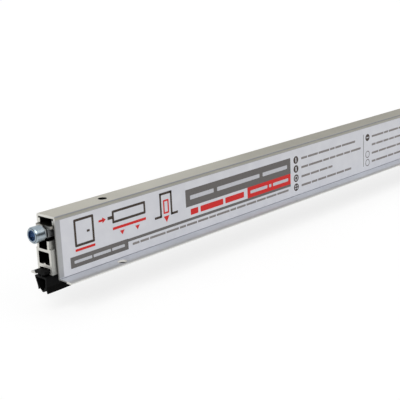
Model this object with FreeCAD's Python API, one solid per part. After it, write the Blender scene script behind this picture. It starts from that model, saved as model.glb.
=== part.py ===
import FreeCAD, Part
import math
import os

# Automatic door bottom seal: a hat-shaped aluminium housing is let into the lower edge of a door
# leaf. Pressing the plunger at its near end slides a steel bar along the housing, two leaf springs bow
# downwards, and the inner profile with its rubber seal drops onto the floor.
# Millimetres. X runs along the seal from the plunger to the far end, Y across it and Z up.
# The origin is the centre of the base, level with the tips of the seal's lips.

# Housing
housing_length = 430.0
housing_width = 12.0
housing_height = 28.0
housing_wall = 1.0
top_corner_round = 0.6
flange_reach = 7.5
flange_edge_thickness = 1.0
flange_edge_width = 3.0
flange_web_thickness = 0.5
flange_edge_round = 0.35
root_round = 0.2

# Tracks inside the housing, counted down from the underside of its top
slot_height = 0.8
rib_height = 1.9
rib_reach = 1.0
ledge_height = 0.5
ledge_reach = 0.6

# Screw holes, the same at both ends
hole_inset = 31.5
top_hole_diameter = 4.1
flange_hole_diameter = 4.4
flange_hole_edge = 3.2
flange_hole_rim = 0.5

# Printed label on the near wall
label_thickness = 0.1
label_end_margin = 2.5
label_top_margin = 1.8

# Pusher bar, its nose block and the plunger
push_stroke = 6.0
bar_thickness = 1.2
bar_overhang = 1.75
bar_tail = 5.5
bar_corner_round = 0.2
block_height = 4.1
block_side_gap = 1.4
block_round = 0.6
block_end_wall = 3.5
plunger_overhang = 7.8
plunger_rib_gap = 0.4
plunger_nose_chamfer = 0.6
plunger_back_chamfer = 0.25
plunger_centre_drop = 2.0
key_width = 4.0
key_depth = 3.2
thread_diameter = 3.0
thread_length = 9.0
thread_end_gap = 1.0
nut_width = 5.5
nut_thickness = 1.5
nut_chamfer_angle = 30.0
block_rivet_wall = 1.5
block_rivet_pitch = 6.0

# Leaf springs
leaf_thickness = 0.5
leaf_shoulder = 0.2
leaf_span = 130.0
leaf_inset = 45.0
leaf_tab = 9.0

# Rivets and anchors
rivet_diameter = 2.0
rivet_head_diameter = 3.2
rivet_head_height = 0.6
shoulder_diameter = 3.0
anchor_length = 18.0
anchor_hole_inset = 4.5
slot_stop_gap = 0.1
grub_diameter = 3.0
grub_key_width = 1.5
grub_key_depth = 1.2

# Inner profile that carries the seal
carrier_overhang = 2.55
carrier_far_inset = 0.5
carrier_side_gap = 0.25
carrier_wall = 1.25
carrier_ledge = 0.75
carrier_rail_height = 3.9
carrier_web = 1.2
carrier_floor = 1.5
carrier_channel_height = 2.1
carrier_lip = 0.6
carrier_foot_height = 3.0
carrier_ledge_rise = 0.3
carrier_edge_round = 0.2
chamber_round = 0.5
floor_bead_height = 0.5
floor_bead_width = 1.8
cross_pin_diameter = 2.0

# Rubber seal
seal_overhang = 5.65
seal_cut_slope = 6.0
seal_below_flange = 4.9
seal_head_height = 1.4
seal_head_round = 0.3
seal_leg_outer = 1.35
seal_leg_inner = 0.5
seal_leg_gap = 1.2
seal_shoulder_gap = 0.3
seal_shoulder_inset = 0.8
seal_shoulder_round = 0.5
seal_crease_inset = 1.75
seal_crease_depth = 1.9
seal_crease_round = 0.3
seal_lip_thickness = 0.45
seal_lip_splay = 0.15
seal_lip_root = 0.6
seal_keel_depth = 4.6
seal_keel_half = 0.4
seal_wall = 0.85

# Clearances
slide_clearance = 0.1
running_clearance = 0.05
seat_clearance = 0.1
bar_side_clearance = 0.12
leaf_side_clearance = 0.2
head_side_clearance = 0.2
anchor_clearance = 0.3
block_clearance = 1.1

# How far a cutter reaches past the faces that it opens
overshoot = 1.0

# Places along the seal
overall_length = plunger_overhang + housing_length
plunger_face_x = -overall_length / 2
near_x = plunger_face_x + plunger_overhang
far_x = near_x + housing_length
near_hole_x = near_x + hole_inset
far_hole_x = far_x - hole_inset
leaf_starts = {"near": near_x + leaf_inset, "far": far_x - leaf_inset - leaf_span}
bar_front_x = near_x - bar_overhang
thread_end_x = bar_front_x + thread_length
bore_end_x = thread_end_x + thread_end_gap
nut_face_x = bar_front_x - nut_thickness

# Levels, from the flange up and from the top down
flange_z = seal_below_flange
flange_web_z = flange_z + flange_edge_thickness - flange_web_thickness
flange_top_z = flange_z + flange_edge_thickness
housing_top_z = flange_z + housing_height
roof_z = housing_top_z - housing_wall
slot_bottom_z = roof_z - slot_height
rib_bottom_z = slot_bottom_z - rib_height
track_bottom_z = rib_bottom_z - 2 * slide_clearance - bar_thickness
ledge_bottom_z = track_bottom_z - ledge_height
bar_bottom_z = track_bottom_z + slide_clearance
bar_top_z = bar_bottom_z + bar_thickness
block_bottom_z = bar_bottom_z - block_height
plunger_z = bar_bottom_z - plunger_centre_drop
leaf_top_z = bar_bottom_z - leaf_shoulder
leaf_bottom_z = leaf_top_z - leaf_thickness
rail_top_z = block_bottom_z - block_clearance
web_top_z = rail_top_z - carrier_rail_height
web_bottom_z = web_top_z - carrier_web
foot_z = flange_z + carrier_foot_height
channel_bottom_z = foot_z + carrier_lip
channel_top_z = channel_bottom_z + carrier_channel_height
chamber_bottom_z = channel_top_z + carrier_floor
leaf_low_z = web_top_z + seat_clearance
anchor_bottom_z = bar_top_z + anchor_clearance

# Half widths, from the housing wall inwards
outer_half = housing_width / 2
inner_half = outer_half - housing_wall
rib_half = inner_half - rib_reach
ledge_half = inner_half - ledge_reach
flange_half = outer_half + flange_reach
flange_web_half = flange_half - flange_edge_width
flange_hole_y = flange_half - flange_hole_edge
bar_half = inner_half - bar_side_clearance
block_half = ledge_half - block_side_gap
carrier_half = inner_half - carrier_side_gap
rail_half = carrier_half - carrier_ledge
rail_inner_half = rail_half - carrier_wall
chamber_half = carrier_half - carrier_wall
leaf_half = rail_inner_half - leaf_side_clearance
plunger_radius = rib_half - plunger_rib_gap
rivet_radius = rivet_diameter / 2
rivet_hole_radius = rivet_radius + running_clearance
rivet_head_radius = rivet_head_diameter / 2
thread_radius = thread_diameter / 2
thread_hole_radius = thread_radius + running_clearance
grub_radius = grub_diameter / 2
shoulder_radius = shoulder_diameter / 2
cross_pin_radius = cross_pin_diameter / 2

# Section of the seal
seal_head_half = chamber_half - head_side_clearance
seal_head_z = channel_bottom_z + seat_clearance
seal_shoulder_half = carrier_half - seal_shoulder_inset
seal_shoulder_z = foot_z - seal_shoulder_gap
seal_crease_half = carrier_half - seal_crease_inset
seal_crease_z = flange_z - seal_crease_depth
seal_keel_z = flange_z - seal_keel_depth

# Each slot in the bar lets an anchor's rivet through over the whole stroke and stops the bar at rest
slot_half = shoulder_radius + slide_clearance


def corner_arc(before, corner, after, radius):
    """Ends and middle of the arc that rounds one corner of an outline, all as (u, v) pairs."""
    to_before = FreeCAD.Vector(before[0] - corner[0], before[1] - corner[1], 0).normalize()
    to_after = FreeCAD.Vector(after[0] - corner[0], after[1] - corner[1], 0).normalize()
    half_angle = to_before.getAngle(to_after) / 2
    tangent = radius / math.tan(half_angle)
    inwards = (to_before + to_after).normalize()
    point = FreeCAD.Vector(corner[0], corner[1], 0)
    middle = point + inwards * (radius / math.sin(half_angle) - radius)
    return point + to_before * tangent, middle, point + to_after * tangent


def outline(corners, place):
    """Closed wire through (u, v) or (u, v, radius) corners; place turns (u, v) into a point."""
    spans = []
    for index, corner in enumerate(corners):
        before = corners[index - 1]
        after = corners[(index + 1) % len(corners)]
        if len(corner) == 3:
            spans.append(corner_arc(before, corner, after, corner[2]))
        else:
            spans.append((FreeCAD.Vector(corner[0], corner[1], 0),))
    edges = []
    for index, span in enumerate(spans):
        if len(span) == 3:
            start, middle, end = [place(point.x, point.y) for point in span]
            edges.append(Part.Arc(start, middle, end).toShape())
        follower = spans[(index + 1) % len(spans)][0]
        leaving = place(span[-1].x, span[-1].y)
        arriving = place(follower.x, follower.y)
        if leaving.distanceToPoint(arriving) > 1e-6:
            edges.append(Part.LineSegment(leaving, arriving).toShape())
    return Part.Wire(edges)


def mirrored(half):
    """Whole outline from the corners of its +Y half, listed from the middle outwards and back."""
    other = [(-corner[0],) + tuple(corner[1:]) for corner in reversed(half)]
    return list(half) + other


def extrusion(corners, x_start, x_end, holes=()):
    """Bar of constant section along X; holes are outlines left open along its length."""
    def place(y, z):
        return FreeCAD.Vector(x_start, y, z)
    wires = [outline(corners, place)]
    wires += [outline(hole, place) for hole in holes]
    return Part.Face(wires, "Part::FaceMakerBullseye").extrude(FreeCAD.Vector(x_end - x_start, 0, 0))


def box(x_range, y_half, z_range):
    """Block centred across the seal."""
    corner = FreeCAD.Vector(x_range[0], -y_half, z_range[0])
    return Part.makeBox(x_range[1] - x_range[0], 2 * y_half, z_range[1] - z_range[0], corner)


def upright(x, y, radius, z_low, z_high):
    """Round bar standing along Z."""
    return Part.makeCylinder(radius, z_high - z_low, FreeCAD.Vector(x, y, z_low))


def lengthwise(radius, x_low, x_high, z):
    """Round bar lying along X on the middle plane."""
    return Part.makeCylinder(radius, x_high - x_low, FreeCAD.Vector(x_low, 0, z), FreeCAD.Vector(1, 0, 0))


def hexagon(width, base, direction, length, first_corner):
    """Six-sided prism with the given width across its flats; one corner points along first_corner."""
    radius = width / math.sqrt(3)
    side = direction.cross(first_corner)
    points = []
    for turn in range(7):
        angle = math.radians(60 * turn)
        points.append(base + first_corner * (radius * math.cos(angle)) + side * (radius * math.sin(angle)))
    return Part.Face(Part.makePolygon(points)).extrude(direction * length)


def bar_hole(x, radius):
    """Cutter for a round hole through the pusher bar."""
    return upright(x, 0, radius, bar_bottom_z - overshoot, bar_top_z + overshoot)


def slot_cut(x_start, x_end):
    """Cutter for a round-ended slot through the pusher bar."""
    z_range = (bar_bottom_z - overshoot, bar_top_z + overshoot)
    middle = box((x_start + slot_half, x_end - slot_half), slot_half, z_range)
    ends = [bar_hole(x, slot_half) for x in (x_start + slot_half, x_end - slot_half)]
    return middle.multiFuse(ends)


def build_housing():
    """Hat-shaped extrusion: inverted U with tracks under its roof and thick-edged flanges.

    Each punched hole in the flanges has a rim drawn down to the level of the thick edge.
    """
    half = [
        (inner_half, roof_z),
        (inner_half, slot_bottom_z),
        (rib_half, slot_bottom_z),
        (rib_half, rib_bottom_z),
        (inner_half, rib_bottom_z),
        (inner_half, track_bottom_z),
        (ledge_half, track_bottom_z),
        (ledge_half, ledge_bottom_z),
        (inner_half, ledge_bottom_z),
        (inner_half, flange_web_z),
        (flange_web_half, flange_web_z),
        (flange_web_half, flange_z),
        (flange_half, flange_z, flange_edge_round),
        (flange_half, flange_top_z, flange_edge_round),
        (outer_half, flange_top_z, root_round),
        (outer_half, housing_top_z, top_corner_round),
    ]
    shape = extrusion(mirrored(half), near_x, far_x)
    flange_hole_radius = flange_hole_diameter / 2
    rim_radius = flange_hole_radius + flange_hole_rim
    rims = []
    cutters = []
    for x in (near_hole_x, far_hole_x):
        cutters.append(upright(x, 0, top_hole_diameter / 2, roof_z - overshoot, housing_top_z + overshoot))
        for y in (-flange_hole_y, flange_hole_y):
            rims.append(upright(x, y, rim_radius, flange_z, flange_top_z))
            cutters.append(upright(x, y, flange_hole_radius, flange_z - overshoot, flange_top_z + overshoot))
    return shape.multiFuse(rims).cut(Part.makeCompound(cutters)).removeSplitter()


def build_label():
    """Printed film on the near wall, between the flange and the top edge."""
    length = housing_length - 2 * label_end_margin
    bottom_z = flange_top_z + root_round
    height = housing_top_z - label_top_margin - bottom_z
    corner = FreeCAD.Vector(near_x + label_end_margin, -outer_half - label_thickness, bottom_z)
    return Part.makeBox(length, label_thickness, height, corner)


def build_carrier():
    """Inner profile: rails above, a box chamber with a bead on its floor, and a channel for the seal."""
    half = [
        (rail_inner_half, web_top_z),
        (rail_inner_half, rail_top_z, carrier_edge_round),
        (rail_half, rail_top_z, carrier_edge_round),
        (rail_half, web_top_z + carrier_ledge_rise),
        (carrier_half, web_top_z + carrier_ledge_rise, carrier_edge_round),
        (carrier_half, foot_z, carrier_edge_round),
        (seal_leg_outer + seal_leg_gap, foot_z),
        (seal_leg_outer + seal_leg_gap, channel_bottom_z),
        (chamber_half, channel_bottom_z),
        (chamber_half, channel_top_z),
    ]
    bead_foot = floor_bead_width / 2
    bead_top = bead_foot - floor_bead_height
    corner_round = min(chamber_round, (web_bottom_z - chamber_bottom_z) / 3)
    chamber = mirrored([
        (bead_top, chamber_bottom_z + floor_bead_height),
        (bead_foot, chamber_bottom_z),
        (chamber_half, chamber_bottom_z, corner_round),
        (chamber_half, web_bottom_z, corner_round),
    ])
    shape = extrusion(mirrored(half), near_x - carrier_overhang, far_x - carrier_far_inset, [chamber])
    pin_holes = [cross_pin(side, running_clearance, overshoot) for side in leaf_starts]
    return shape.cut(Part.makeCompound(pin_holes))


def build_seal():
    """Rubber seal: a flat head in the channel, two legs, and a hollow keel between two hanging lips."""
    lip_half = seal_crease_half + seal_lip_splay
    lip_inner_half = lip_half - seal_lip_thickness
    root_half = seal_crease_half - 2 * seal_lip_splay - seal_lip_thickness
    section = mirrored([
        (seal_head_half, seal_head_z + seal_head_height, seal_head_round),
        (seal_head_half, seal_head_z, seal_head_round),
        (seal_leg_outer, seal_head_z),
        (seal_leg_outer, seal_shoulder_z),
        (seal_shoulder_half, seal_shoulder_z, seal_shoulder_round),
        (seal_crease_half, seal_crease_z, seal_crease_round),
        (lip_half, 0),
        (lip_inner_half, 0),
        (root_half, seal_crease_z - seal_lip_root, seal_crease_round),
        (seal_keel_half, seal_keel_z, seal_keel_half),
    ])
    hollow = mirrored([
        (seal_shoulder_half - seal_wall, seal_shoulder_z - seal_wall, seal_shoulder_round),
        (seal_crease_half - seal_wall, seal_crease_z, seal_crease_round),
        (seal_keel_half, seal_keel_z + seal_wall),
    ])
    leg_gap = mirrored([
        (seal_leg_inner, seal_head_z),
        (seal_leg_inner, seal_shoulder_z),
    ])
    x_start = near_x - seal_overhang
    return extrusion(section, x_start, far_x, [hollow, leg_gap]).cut(seal_end_cut(x_start))


def seal_end_cut(x_start):
    """Wedge off the near end of the seal, which is cut by hand and slopes back towards the lips."""
    top_z = seal_head_z + seal_head_height
    slope_back = (top_z + overshoot) * math.tan(math.radians(seal_cut_slope))
    corners = [
        (x_start - overshoot, top_z),
        (x_start, top_z),
        (x_start + slope_back, -overshoot),
        (x_start - overshoot, -overshoot),
    ]
    wire = outline(corners, lambda x, z: FreeCAD.Vector(x, -flange_half, z))
    return Part.Face(wire).extrude(FreeCAD.Vector(0, 2 * flange_half, 0))


def leaf_points(start_x, offset):
    """Points of one face of a leaf: ends and middles of three equal-radius arcs between flat tabs."""
    end_z = leaf_top_z - leaf_thickness / 2
    low_z = leaf_low_z + leaf_thickness / 2
    quarter = (leaf_span - 2 * leaf_tab) / 4
    rise = (end_z - low_z) / 2
    radius = (quarter ** 2 + rise ** 2) / (2 * rise)
    sweep = math.asin(quarter / radius)
    tab_x = start_x + leaf_tab
    middle_x = start_x + leaf_span / 2
    far_tab_x = start_x + leaf_span - leaf_tab
    upper_z = end_z - radius
    lower_z = low_z + radius

    def over(x, angle):
        reach = radius + offset
        return FreeCAD.Vector(x + reach * math.sin(angle), 0, upper_z + reach * math.cos(angle))

    def under(angle):
        reach = radius - offset
        return FreeCAD.Vector(middle_x + reach * math.sin(angle), 0, lower_z - reach * math.cos(angle))

    first = [over(tab_x, 0), over(tab_x, sweep / 2), over(tab_x, sweep)]
    bottom = [under(-sweep), under(0), under(sweep)]
    last = [over(far_tab_x, -sweep), over(far_tab_x, -sweep / 2), over(far_tab_x, 0)]
    tab_start = FreeCAD.Vector(start_x, 0, end_z + offset)
    tab_end = FreeCAD.Vector(start_x + leaf_span, 0, end_z + offset)
    return tab_start, first, bottom, last, tab_end


def build_leaf(start_x):
    """Bowed leaf spring: flat riveted tabs at its ends, its belly on the web of the inner profile."""
    edges = []
    faces = [leaf_points(start_x, offset) for offset in (leaf_thickness / 2, -leaf_thickness / 2)]
    for tab_start, first, bottom, last, tab_end in faces:
        edges.append(Part.LineSegment(tab_start, first[0]).toShape())
        for start, middle, end in (first, bottom, last):
            edges.append(Part.Arc(start, middle, end).toShape())
        edges.append(Part.LineSegment(last[2], tab_end).toShape())
    edges.append(Part.LineSegment(faces[0][0], faces[1][0]).toShape())
    edges.append(Part.LineSegment(faces[0][4], faces[1][4]).toShape())
    side = Part.Face(Part.Wire(Part.__sortEdges__(edges)))
    side.translate(FreeCAD.Vector(0, -leaf_half, 0))
    leaf = side.extrude(FreeCAD.Vector(0, 2 * leaf_half, 0))
    holes = []
    for x in (moving_rivet_x(start_x), fixed_rivet_x(start_x)):
        holes.append(upright(x, 0, rivet_hole_radius, leaf_bottom_z - overshoot, leaf_top_z + overshoot))
    return leaf.cut(Part.makeCompound(holes))


def moving_rivet_x(start_x):
    """Place of the rivet that ties a leaf's near tab to the pusher bar."""
    return start_x + leaf_tab / 2


def fixed_rivet_x(start_x):
    """Place of the rivet that ties a leaf's far tab to its anchor in the housing."""
    return start_x + leaf_span - leaf_tab / 2


def cross_pin(side, extra_radius=0.0, extra_length=0.0):
    """Pin across the rails of the inner profile, lying on the belly of a leaf."""
    x = leaf_starts[side] + leaf_span / 2
    z = leaf_low_z + leaf_thickness + seat_clearance + cross_pin_radius
    half_length = rail_half + extra_length
    base = FreeCAD.Vector(x, -half_length, z)
    return Part.makeCylinder(cross_pin_radius + extra_radius, 2 * half_length, base, FreeCAD.Vector(0, 1, 0))


def build_spring_rivet(start_x):
    """Rivet through the pusher bar and a leaf's near tab, with a shoulder between the two."""
    x = moving_rivet_x(start_x)
    shank = upright(x, 0, rivet_radius, leaf_bottom_z - rivet_head_height, bar_top_z + rivet_head_height)
    shoulder = upright(x, 0, rivet_head_radius, leaf_top_z, bar_bottom_z)
    lower = upright(x, 0, rivet_head_radius, leaf_bottom_z - rivet_head_height, leaf_bottom_z)
    upper = upright(x, 0, rivet_head_radius, bar_top_z, bar_top_z + rivet_head_height)
    return shank.multiFuse([shoulder, lower, upper]).removeSplitter()


def grub_x(start_x):
    """Place of the grub screw in an anchor, beyond its rivet."""
    return fixed_rivet_x(start_x) + anchor_length - 2 * anchor_hole_inset


def build_anchor(start_x):
    """Moulded T-block in the slot under the roof that holds a leaf's far tab."""
    x_start = fixed_rivet_x(start_x) - anchor_hole_inset
    half = [
        (rib_half - slide_clearance, anchor_bottom_z),
        (rib_half - slide_clearance, slot_bottom_z + seat_clearance),
        (inner_half - slide_clearance, slot_bottom_z + seat_clearance),
        (inner_half - slide_clearance, roof_z - seat_clearance),
    ]
    block = extrusion(mirrored(half), x_start, x_start + anchor_length)
    low_z = anchor_bottom_z - overshoot
    holes = [
        upright(fixed_rivet_x(start_x), 0, rivet_hole_radius, low_z, roof_z),
        upright(grub_x(start_x), 0, grub_radius + running_clearance, low_z, roof_z),
    ]
    return block.cut(Part.makeCompound(holes))


def build_anchor_rivet(start_x):
    """Shouldered rivet from an anchor down through the bar's slot to a leaf's far tab."""
    x = fixed_rivet_x(start_x)
    shank = upright(x, 0, rivet_radius, leaf_bottom_z - rivet_head_height, roof_z - seat_clearance)
    shoulder = upright(x, 0, shoulder_radius, leaf_top_z, anchor_bottom_z)
    lower = upright(x, 0, rivet_head_radius, leaf_bottom_z - rivet_head_height, leaf_bottom_z)
    return shank.multiFuse([shoulder, lower]).removeSplitter()


def build_grub_screw(start_x):
    """Socket grub screw that jams an anchor in its slot against the roof."""
    x = grub_x(start_x)
    screw = upright(x, 0, grub_radius, anchor_bottom_z + slide_clearance, roof_z)
    base = FreeCAD.Vector(x, 0, anchor_bottom_z + slide_clearance)
    up = FreeCAD.Vector(0, 0, 1)
    return screw.cut(hexagon(grub_key_width, base, up, grub_key_depth, FreeCAD.Vector(1, 0, 0)))


def block_rivet_places():
    """X of the two rivets that tie the nose block to the bar, behind the end of the plunger's thread."""
    first = bore_end_x + block_rivet_wall + rivet_radius
    return first, first + block_rivet_pitch


def build_pusher_bar():
    """Steel strip in the tracks, slotted over the anchors and drilled for its rivets."""
    tail_x = grub_x(leaf_starts["far"]) + bar_tail
    corners = [
        (bar_front_x, -bar_half, bar_corner_round),
        (tail_x, -bar_half, bar_corner_round),
        (tail_x, bar_half, bar_corner_round),
        (bar_front_x, bar_half, bar_corner_round),
    ]
    plan = outline(corners, lambda x, y: FreeCAD.Vector(x, y, bar_bottom_z))
    bar = Part.Face(plan).extrude(FreeCAD.Vector(0, 0, bar_thickness))
    cutters = [bar_hole(x, rivet_hole_radius) for x in block_rivet_places()]
    for start_x in leaf_starts.values():
        rivet_x = fixed_rivet_x(start_x)
        cutters.append(bar_hole(moving_rivet_x(start_x), rivet_hole_radius))
        cutters.append(slot_cut(rivet_x - push_stroke - slot_half - slot_stop_gap,
                                rivet_x + slot_half + slot_stop_gap))
        cutters.append(bar_hole(grub_x(start_x), slot_half))
    return bar.cut(Part.makeCompound(cutters))


def build_slider_block():
    """Die-cast block under the nose of the bar, threaded for the plunger and riveted behind the thread."""
    half = [
        (block_half, block_bottom_z, block_round),
        (block_half, bar_bottom_z),
    ]
    rivet_places = block_rivet_places()
    block = extrusion(mirrored(half), bar_front_x, rivet_places[1] + block_end_wall)
    cutters = [lengthwise(thread_hole_radius, bar_front_x - overshoot, bore_end_x, plunger_z)]
    for x in rivet_places:
        cutters.append(upright(x, 0, rivet_hole_radius, block_bottom_z - overshoot, bar_bottom_z + overshoot))
    return block.cut(Part.makeCompound(cutters))


def build_block_rivets():
    """Two rivets down through the bar and the nose block."""
    rivets = []
    for x in block_rivet_places():
        shank = upright(x, 0, rivet_radius, block_bottom_z, bar_top_z + rivet_head_height)
        head = upright(x, 0, rivet_head_radius, bar_top_z, bar_top_z + rivet_head_height)
        rivets.append(shank.fuse(head).removeSplitter())
    return Part.makeCompound(rivets)


def turned(corners):
    """Solid turned about the plunger's axis from (x, radius) corners."""
    wire = outline(corners, lambda x, radius: FreeCAD.Vector(x, 0, plunger_z + radius))
    return Part.Face(wire).revolve(FreeCAD.Vector(0, 0, plunger_z), FreeCAD.Vector(1, 0, 0), 360)


def build_plunger():
    """Turned plunger: round head with a chamfered nose and a hexagon socket, on a threaded stem."""
    solid = turned([
        (plunger_face_x, 0),
        (plunger_face_x, plunger_radius - plunger_nose_chamfer),
        (plunger_face_x + plunger_nose_chamfer, plunger_radius),
        (nut_face_x - plunger_back_chamfer, plunger_radius),
        (nut_face_x, plunger_radius - plunger_back_chamfer),
        (nut_face_x, thread_radius),
        (thread_end_x, thread_radius),
        (thread_end_x, 0),
    ])
    base = FreeCAD.Vector(plunger_face_x, 0, plunger_z)
    socket = hexagon(key_width, base, FreeCAD.Vector(1, 0, 0), key_depth, FreeCAD.Vector(0, 0, 1))
    return solid.cut(socket)


def build_lock_nut():
    """Thin hexagon nut, chamfered on both faces, that locks the plunger against the nose block."""
    base = FreeCAD.Vector(nut_face_x, 0, plunger_z)
    prism = hexagon(nut_width, base, FreeCAD.Vector(1, 0, 0), nut_thickness, FreeCAD.Vector(0, 0, 1))
    corner_radius = nut_width / math.sqrt(3)
    face_radius = nut_width / 2
    chamfer = (corner_radius - face_radius) * math.tan(math.radians(nut_chamfer_angle))
    envelope = turned([
        (nut_face_x, thread_hole_radius),
        (nut_face_x, face_radius),
        (nut_face_x + chamfer, corner_radius),
        (bar_front_x - chamfer, corner_radius),
        (bar_front_x, face_radius),
        (bar_front_x, thread_hole_radius),
    ])
    return prism.common(envelope)


def build_all():
    """Every piece by its node name."""
    pieces = {
        "housing": build_housing(),
        "label": build_label(),
        "pusher_bar": build_pusher_bar(),
        "slider_block": build_slider_block(),
        "block_rivets": build_block_rivets(),
        "plunger": build_plunger(),
        "lock_nut": build_lock_nut(),
        "carrier": build_carrier(),
        "seal": build_seal(),
    }
    for side, start_x in leaf_starts.items():
        pieces[side + "_leaf_spring"] = build_leaf(start_x)
        pieces[side + "_spring_rivet"] = build_spring_rivet(start_x)
        pieces[side + "_anchor"] = build_anchor(start_x)
        pieces[side + "_anchor_rivet"] = build_anchor_rivet(start_x)
        pieces[side + "_grub_screw"] = build_grub_screw(start_x)
        pieces[side + "_cross_pin"] = cross_pin(side)
    return pieces


os.makedirs("parts", exist_ok=True)
for node, shape in build_all().items():
    shape.exportStep("parts/" + node + ".step")
    print(node, len(shape.Solids), "solids", round(shape.Volume, 2), "mm3", shape.isValid())
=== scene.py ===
import math

import bpy
import numpy as np
from mathutils import Matrix, Vector
from mathutils.geometry import tessellate_polygon


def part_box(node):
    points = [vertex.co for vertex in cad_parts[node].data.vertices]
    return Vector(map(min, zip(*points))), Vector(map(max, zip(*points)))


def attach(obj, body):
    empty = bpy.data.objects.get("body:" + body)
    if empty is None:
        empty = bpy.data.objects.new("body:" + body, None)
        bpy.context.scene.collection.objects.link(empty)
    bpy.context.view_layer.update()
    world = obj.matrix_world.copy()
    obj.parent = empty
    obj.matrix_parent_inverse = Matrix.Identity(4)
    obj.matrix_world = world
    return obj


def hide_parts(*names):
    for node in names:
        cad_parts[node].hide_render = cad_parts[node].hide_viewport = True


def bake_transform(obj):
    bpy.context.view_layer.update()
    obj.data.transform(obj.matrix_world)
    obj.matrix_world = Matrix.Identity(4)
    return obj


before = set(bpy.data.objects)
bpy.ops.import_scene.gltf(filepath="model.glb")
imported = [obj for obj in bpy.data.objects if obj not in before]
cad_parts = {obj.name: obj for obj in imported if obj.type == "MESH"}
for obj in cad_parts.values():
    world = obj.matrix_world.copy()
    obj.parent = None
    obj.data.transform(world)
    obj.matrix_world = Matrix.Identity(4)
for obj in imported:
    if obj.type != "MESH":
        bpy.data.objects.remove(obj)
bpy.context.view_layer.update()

# Automatic door bottom seal: finishes, printed label, rubber and springs around the CAD pieces.
# Sizes in the dictionaries are millimetres, in the frame's own axes: X along the seal, Z up.
mm = 0.001
scene = bpy.context.scene
scene.view_settings.view_transform = "Standard"


def nodeBox(node):
    # lowest and highest corner of a CAD node in millimetres
    return tuple(np.array(corner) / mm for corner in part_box(node))


housingLow = nodeBox("housing")[0]
nearEndX = housingLow[0]
flangeZ = housingLow[2]
print("frame loaded:", len(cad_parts), "nodes")


# Small tools for node trees and meshes
def linear(hexColour):
    # sRGB hex to linear light
    share = np.array([int(hexColour[place:place + 2], 16) for place in (1, 3, 5)]) / 255
    light = np.where(share <= 0.04045, share / 12.92, ((share + 0.055) / 1.055) ** 2.4)
    return (*light.tolist(), 1.0)


def setInputs(tree, node, inputs):
    # each input takes a value or the socket that feeds it
    for name, value in inputs.items():
        if isinstance(value, bpy.types.NodeSocket):
            tree.links.new(value, node.inputs[name])
        else:
            node.inputs[name].default_value = value


def addNode(tree, kind, inputs=None, **settings):
    # a node with its settings, its values and the sockets that feed it;
    # Mix takes numbers at 2 and 3, or colours at 6 and 7 with the result at output 2
    node = tree.nodes.new("ShaderNode" + kind)
    for name, value in settings.items():
        setattr(node, name, value)
    setInputs(tree, node, inputs or {})
    return node


def startMaterial(name):
    material = bpy.data.materials.new(name)
    material.use_nodes = True
    tree = material.node_tree
    return material, tree, tree.nodes["Principled BSDF"]


def span(ends, side="From", scale=1):
    # values for the two inputs that hold the ends of a range
    return {side + " Min": ends[0] * scale, side + " Max": ends[1] * scale}


# parts of a noise's range that are stretched over a whole one
mostOfNoise = span((0.3, 0.7))
middleOfNoise = span((0.35, 0.65))


def perMm(*sizes):
    # pattern scale per metre from the size of one repeat in millimetres
    return tuple(1 / (size * mm) for size in sizes)


def gridFaces(rows, columns, closed=False):
    # quads between neighbouring rows and columns of points; closed joins the last column to the first
    down = np.arange(rows - 1)[:, None] * columns
    across = np.arange(columns if closed else columns - 1)[None, :]
    beyond = (across + 1) % columns
    quads = np.stack([down + across, down + beyond, down + columns + beyond, down + columns + across], -1)
    return quads.reshape(-1, 4)


def makePiece(name, points, faces, material, smoothAngle=35):
    # a mesh object from points in millimetres, smooth except at edges sharper than the angle
    mesh = bpy.data.meshes.new(name)
    mesh.from_pydata((points * mm).tolist(), [], faces)
    mesh.materials.append(material)
    mesh.polygons.foreach_set("use_smooth", np.ones(len(mesh.polygons), bool))
    mesh.set_sharp_from_angle(angle=math.radians(smoothAngle))
    mesh.update()
    piece = bpy.data.objects.new(name, mesh)
    scene.collection.objects.link(piece)
    return piece


# Extruded aluminium: satin from the anodising bath, with faint lines from the die along its length
# and bare bright metal with saw marks where a length was cut off
anodisedLook = {
    "colour": "#B5B6B8",
    "shade": 0.90,            # darkest blotch, as a share of the colour
    "bands": (                # painted light: tone that the skin takes between two heights
        # painted light: the warmer tone of the lit top face
        ("#B6B3A7", 30.9, 31.9),
        # painted reflection and light: the flanges paler and bluish, as if mirroring the label
        ("#C6C9D0", 6.6, 6.0),
        # painted light on the lower edge and underside of the flanges, against their shade
        ("#EAE9E4", 5.6, 5.35),
    ),
    # on the flanges: a colour, two places across and a height
    "punched": ("#D9D8D3", 7.9, 12.7, 6.0),   # walls of the holes
    "cornerShade": ("#9A9DA5", 5.95, 6.5, 6.0),      # painted shade in the corner between a flange and its wall
    "border": ("#ABABAA", 10.6, 13.3, 5.6),   # outer part, greyer than the rest of the flange
    # on the cut end: a colour and two places across
    "cut": "#DAD9D3",
    "cutShade": ("#9B9B98", -10.4, -5.05),      # painted shade on the near wall and the web of its flange
    "gapShade": ("#323233", -5.32, -4.95),    # inner edge of that wall, in the shade of the gap
    # heights over which the painted shade on the cut end fades out upwards
    "cutShadeBelow": (28.4, 31.4),
    "cutDepth": 0.3,          # faces square to X are cut ones this close to an end
    "inside": "#3A3A38",      # the hollow, which daylight does not reach
    "insideHalf": 5.03,
    "insideTop": 32.88,
    "metallic": 0.4,          # the oxide skin scatters part of the light
    "roughness": (0.36, 0.48),
    "corner": "#8E8F92",      # rounded corners of the top, painted darker as a reflection of the darker side of the room
    "cornerAbove": 31.0,
    "cornerRoughness": 0.32,
    "cutRoughness": 0.48,
    "lineGap": 0.35,          # drawn coarser than the real lines so that they show
    "lineLength": 90.0,
    "sawGap": 0.45,
    "cloud": 18.0,
    "relief": 0.012,          # depth of the lines and of the saw marks
    "bump": 0.35,
    "edge": 0.12,             # rounding that the light sees on a sharp edge
}
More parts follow.
